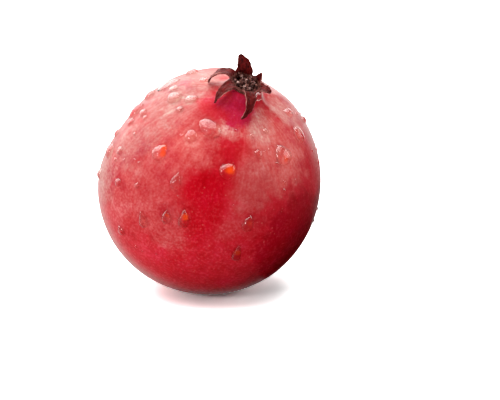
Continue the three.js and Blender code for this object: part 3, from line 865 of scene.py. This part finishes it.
def makeStamens():
    draw = random.Random(tuft["seed"])
    made = [makeStamen(draw, number) for number in range(tuft["count"])]
    threads = [thread for thread, anther in made]
    anthers = [anther for thread, anther in made if anther]
    rolled = [makeCurl(curl) for curl in curls]
    cushion = addBall(cushionShape["faces"], cushionShape["radius"], (0, 0, tuft["floor"]))
    cushion.scale = (1, 1, cushionShape["flat"])
    kinds = {"stamenThreads": threads + [cushion], "stamenTips": anthers, "stamenCurls": rolled}
    for name, objects in kinds.items():
        mat = tuftMaterial(name)
        for obj in objects:
            obj.data.materials.append(mat)
    stamens = joined(threads + anthers + rolled + [cushion], "stamenTuft")
    settle(stamens, Matrix.Identity(4))
    roughen(stamens, tuftLumps)
    applyAll(stamens)
    bpy.ops.object.shade_smooth()
    settle(stamens, alongCore)
    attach(stamens, "root")
    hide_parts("stamens")


makeStamens()
print("stamens made")


# the stem stub at the other end

stemLook = {
    "levels": 2, "lumps": [(0.8 * mm, 0.35 * mm)],
    "dark": (0.09, 0.045, 0.022), "light": (0.36, 0.22, 0.13), "roughness": 0.75,
    "grain": {"scale": 1500.0, "detail": 4.0}, "grainRun": 0.25, "grainRange": (0.35, 0.65),
    "relief": (0.8, 0.2 * mm),
}


def stemMaterial():
    mat, tree, wood = startMaterial("stemWood")
    inputs = {"Vector": coreCoordinates(tree), "Scale": (1, 1, stemLook["grainRun"])}
    grain = noiseOn(tree, put(tree, "ShaderNodeMapping", inputs).outputs[0], **stemLook["grain"])
    colour = mixed(tree, ranged(tree, grain, *stemLook["grainRange"]), stemLook["dark"], stemLook["light"])
    tree.links.new(colour, wood.inputs["Base Color"])
    tree.links.new(bumped(tree, grain, *stemLook["relief"]), wood.inputs["Normal"])
    setSockets(wood, {"Roughness": stemLook["roughness"]})
    return mat


def makeStem():
    stem = namedCopy("stem_stub", "stemStub")
    subdivide(stem, stemLook["levels"])
    roughen(stem, stemLook["lumps"])
    applyAll(stem)
    stem.data.materials.append(stemMaterial())
    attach(stem, "root")
    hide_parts("stem_stub")


makeStem()
print("stem stub made")


# the water

# a slight pink from in front, and a painted dark red towards a drop's edge, standing in for the red skin and
# shade that its edge would show
waterTint = {"front": (1, 0.82, 0.76), "edge": (0.6, 0.1, 0.085), "between": (0.3, 0.85)}
waterGloss = {
    "Roughness": 0.0, "IOR": 1.33, "Transmission Weight": 1.0,
    "Coat Weight": 0.75, "Coat Roughness": 0.25, "Coat IOR": 1.36,
}


def seeThrough(tree, where, shader):
    # gives way to clear where it is told to
    clear = put(tree, "ShaderNodeBsdfTransparent")
    either = put(tree, "ShaderNodeMixShader", {0: where, 1: shader.outputs[0], 2: clear.outputs[0]})
    tree.links.new(either.outputs[0], tree.nodes["Material Output"].inputs["Surface"])


def waterMaterial():
    mat, tree, water = startMaterial("water")
    # painted dark red towards the edges, by the angle at which the surface is seen
    edge = put(tree, "ShaderNodeLayerWeight", {"Blend": 0.5}).outputs["Facing"]
    share = ranged(tree, edge, *waterTint["between"])
    colour = mixed(tree, share, waterTint["front"], waterTint["edge"])
    tree.links.new(colour, water.inputs["Base Color"])
    setSockets(water, waterGloss)
    # lamps reach the rind through it
    seeThrough(tree, put(tree, "ShaderNodeLightPath").outputs["Is Shadow Ray"], water)
    return mat


waterLook = waterMaterial()
skinTree = treeOf(rind)

# drops are plumper than in the part, and lie a little in the rind. under is how far down a face of the
# underside looks, and from is where a drop lands from, in mm.
wet = {
    "sink": 0.35 * mm, "plump": 1.25, "flatten": 0.62, "height": 1.2,
    "levels": 2, "under": -0.5, "from": 4,
}
# a long drop on the outline that lies lower than the others
lowDrops = {"water_drop_02": 0.62}


def dropAxis(drop, outwards):
    # square to the drop's flat underside
    under = [face for face in drop.data.polygons if face.normal.dot(outwards) < wet["under"]]
    return -sum((face.normal * face.area for face in under), Vector()).normalized()


def makeDrop(name):
    drop = namedCopy(name, name + "Fine")
    spot = sum((vertex.co for vertex in drop.data.vertices), Vector()) / len(drop.data.vertices)
    axis = dropAxis(drop, (spot - middle).normalized())
    heights = [vertex.co.dot(axis) for vertex in drop.data.vertices]
    base, tall = min(heights), max(heights) - min(heights)
    # a flatter top and steeper sides, as a drop that spreads on the rind has
    full = wet["height"] * lowDrops.get(name, 1)
    for vertex, height in zip(drop.data.vertices, heights):
        share = max(0.0, (height - base) / tall)
        vertex.co += axis * tall * (full * share ** wet["flatten"] - share)
    subdivide(drop, wet["levels"])
    applyAll(drop)
    lowest = min(vertex.co.dot(axis) for vertex in drop.data.vertices)
    foot = spot + axis * (lowest - spot.dot(axis))
    landed = skinTree.ray_cast(foot + axis * wet["from"] * mm, -axis)[0]
    grown = Matrix.Scale(wet["plump"], 4) @ Matrix.Translation(-foot)
    settle(drop, Matrix.Translation(landed - axis * wet["sink"]) @ grown)
    return drop


def makeDrops():
    names = sorted(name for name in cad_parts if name.startswith("water_drop"))
    water = joined([makeDrop(name) for name in names], "waterDrops")
    water.data.materials.append(waterLook)
    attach(water, "root")
    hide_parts(*names)


makeDrops()
print("water drops made")

# small beads between the drops, by the pixel that shows them, with their width in mm; against is the pixel
# of the margin that one hangs on
beads = [
    {"at": (145.6, 117.2), "wide": 2.5}, {"at": (135.2, 133.4), "wide": 1.6},
    {"at": (124.4, 159), "wide": 1.2}, {"at": (137.3, 185.2), "wide": 2.4},
    {"at": (297, 113.8), "wide": 1.5}, {"at": (300.7, 113.5), "wide": 1.2},
    {"at": (265.9, 131.5), "wide": 2.7}, {"at": (252.3, 135.5), "wide": 2.0},
    {"at": (265.1, 152), "wide": 1.3}, {"at": (269.2, 149.8), "wide": 1.2},
    {"at": (283.8, 182.8), "wide": 2.0}, {"at": (283.8, 190.5), "wide": 1.4},
    {"at": (295.2, 179.9), "wide": 1.1}, {"at": (318.4, 162.3), "wide": 2.2},
    {"at": (312.0, 150.9), "wide": 1.3}, {"at": (319.0, 209.7), "wide": 1.6},
    {"at": (316.0, 221.8), "wide": 1.5}, {"at": (233, 205), "wide": 0.9},
    {"at": (258.5, 96.7), "wide": 3.3, "against": (256, 96)}, {"at": (180.5, 108.6), "wide": 1.9},
    {"at": (236, 130), "wide": 1.0},
]
# the others lie by a draw, neither low on the fruit nor round its crown; from is in mm, as above
moreBeads = {"count": 34, "seed": 11, "lowest": -0.45, "crown": 0.8, "wide": (0.8, 1.9), "from": 100}
# of a bead 1 wide: how tall its ball is, and the height below which it is drawn in and made level
beadShape = {"faces": (12, 8), "tall": 0.66, "level": -0.05, "foot": (0.96, 0.96, 0.3), "levels": 1}
beadSink = 0.03 * mm


def makeBead():
    # a ball, drawn in and made level underneath, with its foot at the origin
    bead = addBall(beadShape["faces"], 0.5, (0, 0, 0))
    level = beadShape["level"]
    bpy.ops.object.mode_set(mode="EDIT")
    bpy.ops.transform.resize(value=(1, 1, beadShape["tall"]), center_override=(0, 0, 0))
    ball = bmesh.from_edit_mesh(bead.data)
    for vertex in ball.verts:
        vertex.select_set(vertex.co.z < level)
    ball.select_flush_mode()
    bmesh.update_edit_mesh(bead.data)
    bpy.ops.transform.resize(value=beadShape["foot"], center_override=(0, 0, level))
    bpy.ops.object.mode_set(mode="OBJECT")
    subdivide(bead, beadShape["levels"])
    applyAll(bead)
    bpy.ops.object.shade_smooth()
    return bead


def seenBeadPlace(bead, skins):
    # the nearest skin, lobe or rim that the pixel's sight line meets, and its normal there
    met = bead.get("against", bead["at"])
    line = (seenAt(*met) - eye).normalized()
    hits = [hit for hit in (skin.ray_cast(eye, line) for skin in skins) if hit[0]]
    if hits:
        place, normal = min(hits, key=lambda hit: hit[3])[:2]
    else:
        place, normal = skinTree.find_nearest(seenAt(*met))[:2]
    if "against" in bead:
        place, normal = place + seenAt(*bead["at"]) - seenAt(*met), nearer
    return place, normal


def beadPlaces():
    # place, normal and width of every bead
    skins = [skinTree] + [treeOf(piece) for piece in crownPieces]
    draw = random.Random(moreBeads["seed"])
    places = [(*seenBeadPlace(bead, skins), bead["wide"] * mm) for bead in beads]
    while len(places) < len(beads) + moreBeads["count"]:
        way = Vector((draw.gauss(0, 1), draw.gauss(0, 1), draw.gauss(0, 1))).normalized()
        if way.z >= moreBeads["lowest"] and way.dot(core) <= moreBeads["crown"]:
            place, normal = skinTree.ray_cast(middle + way * moreBeads["from"] * mm, -way)[:2]
            places.append((place, normal, draw.uniform(*moreBeads["wide"]) * mm))
    return places


def makeBeads():
    first = makeBead()
    copies = []
    for place, normal, wide in beadPlaces():
        copy = bpy.data.objects.new("waterBead", first.data.copy())
        bpy.context.scene.collection.objects.link(copy)
        turn = Vector((0, 0, 1)).rotation_difference(normal).to_matrix().to_4x4()
        copy.matrix_world = Matrix.Translation(place - normal * beadSink) @ turn @ Matrix.Scale(wide, 4)
        copies.append(copy)
    bpy.data.objects.remove(first)
    water = joined(copies, "waterBeads")
    settle(water, Matrix.Identity(4))
    water.data.materials.append(waterLook)
    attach(water, "root")


makeBeads()
print("water beads made")


# the surface it lies on, and the light

# whiter to the camera than to the fruit, as an overexposed sweep is, and darker through the drops, so that
# they show against it
sweep = {"size": 12, "toFruit": 0.9, "toCamera": 2.0, "throughDrops": 0.6}
# a dark card at the fruit's right, which keeps the floor's light off its underside there
darkCard = {"at": (0.078, -0.005, 0.001), "size": (0.11, 0.13), "colour": (0.06, 0.004, 0.006, 1)}
matt = {"Roughness": 0.9, "Specular IOR Level": 0.0}


def grey(value):
    return (value, value, value)


def addFloor():
    bpy.ops.object.select_all(action="DESELECT")
    bpy.ops.mesh.primitive_plane_add(size=sweep["size"])
    floor = bpy.context.object
    floor.name = "floor"
    floor.visible_glossy = False
    mat, tree, paper = startMaterial("whitePaper")
    setSockets(paper, matt)
    ray = put(tree, "ShaderNodeLightPath").outputs
    white = mixed(tree, ray["Is Transmission Ray"], grey(sweep["toFruit"]), grey(sweep["throughDrops"]))
    white = mixed(tree, ray["Is Camera Ray"], white, grey(sweep["toCamera"]))
    tree.links.new(white, paper.inputs["Base Color"])
    floor.data.materials.append(mat)


def addCard():
    bpy.ops.object.select_all(action="DESELECT")
    bpy.ops.mesh.primitive_plane_add(size=1, location=darkCard["at"])
    card = bpy.context.object
    card.name = "darkCard"
    card.scale = (*darkCard["size"], 1)
    card.visible_camera = card.visible_shadow = False
    mat, tree, black = startMaterial("darkCard")
    setSockets(black, {"Base Color": darkCard["colour"], **matt})
    # it is nothing to the floor under it
    seeThrough(tree, put(tree, "ShaderNodeNewGeometry").outputs["Backfacing"], black)
    card.data.materials.append(mat)


# brightest on the side that the main light comes from, dim in front on the right, and dimmer by a share
# through the drops, so that they show against the white
surround = {"from": (-0.6, 0.55, 0.45), "bright": 1.2, "dim": 0.05, "between": (-0.3, 0.8), "dimmer": 0.4}


def addWorld():
    world = bpy.data.worlds.new("studio")
    world.use_nodes = True
    bpy.context.scene.world = world
    tree = world.node_tree
    ground = tree.nodes["Background"]
    way = put(tree, "ShaderNodeTexCoord").outputs["Generated"]
    facing = vectored(tree, "DOT_PRODUCT", way, Vector(surround["from"]).normalized())
    strength = ranged(tree, facing, *surround["between"], surround["dim"], surround["bright"])
    through = put(tree, "ShaderNodeLightPath").outputs["Is Transmission Ray"]
    left = counted(tree, "MULTIPLY_ADD", through, -surround["dimmer"], 1.0)
    tree.links.new(product(tree, strength, left), ground.inputs["Strength"])
    ground.inputs["Color"].default_value = (1, 1, 1, 1)


# the sheets are only for gloss
softboxes = [
    {"name": "overheadSoftbox", "at": (-0.14, 0.0, 0.85), "size": (1.15, 1.3), "power": 17.0},
    {"name": "rightPanel", "at": (1.15, 0.0, 0.5), "size": (0.9, 0.65), "power": 5.2},
    {"name": "keyLamp", "at": (-0.75, -0.85, 0.42), "size": (0.3, 0.3), "power": 4.6},
    {"name": "shineSheet", "at": (-0.75, 0.55, 1.0), "size": (2.2, 2.2), "power": 46.0, "onlyGloss": True},
    {"name": "edgeSheet", "at": (0.5, 1.6, 0.2), "size": (0.8, 0.8), "power": 3.0, "onlyGloss": True},
]


def addSoftbox(box):
    light = bpy.data.lights.new(box["name"], "AREA")
    light.shape = "RECTANGLE"
    light.size, light.size_y = box["size"]
    light.energy = box["power"]
    obj = bpy.data.objects.new(box["name"], light)
    bpy.context.scene.collection.objects.link(obj)
    obj.location = box["at"]
    obj.rotation_mode = "QUATERNION"
    obj.rotation_quaternion = (middle - Vector(box["at"])).to_track_quat("-Z", "Y")
    obj.visible_camera = False
    obj.visible_diffuse = obj.visible_transmission = not box.get("onlyGloss", False)


addFloor()
addCard()
addWorld()
for box in softboxes:
    addSoftbox(box)
bpy.context.scene.view_settings.view_transform = "Standard"
print("surface and light set")
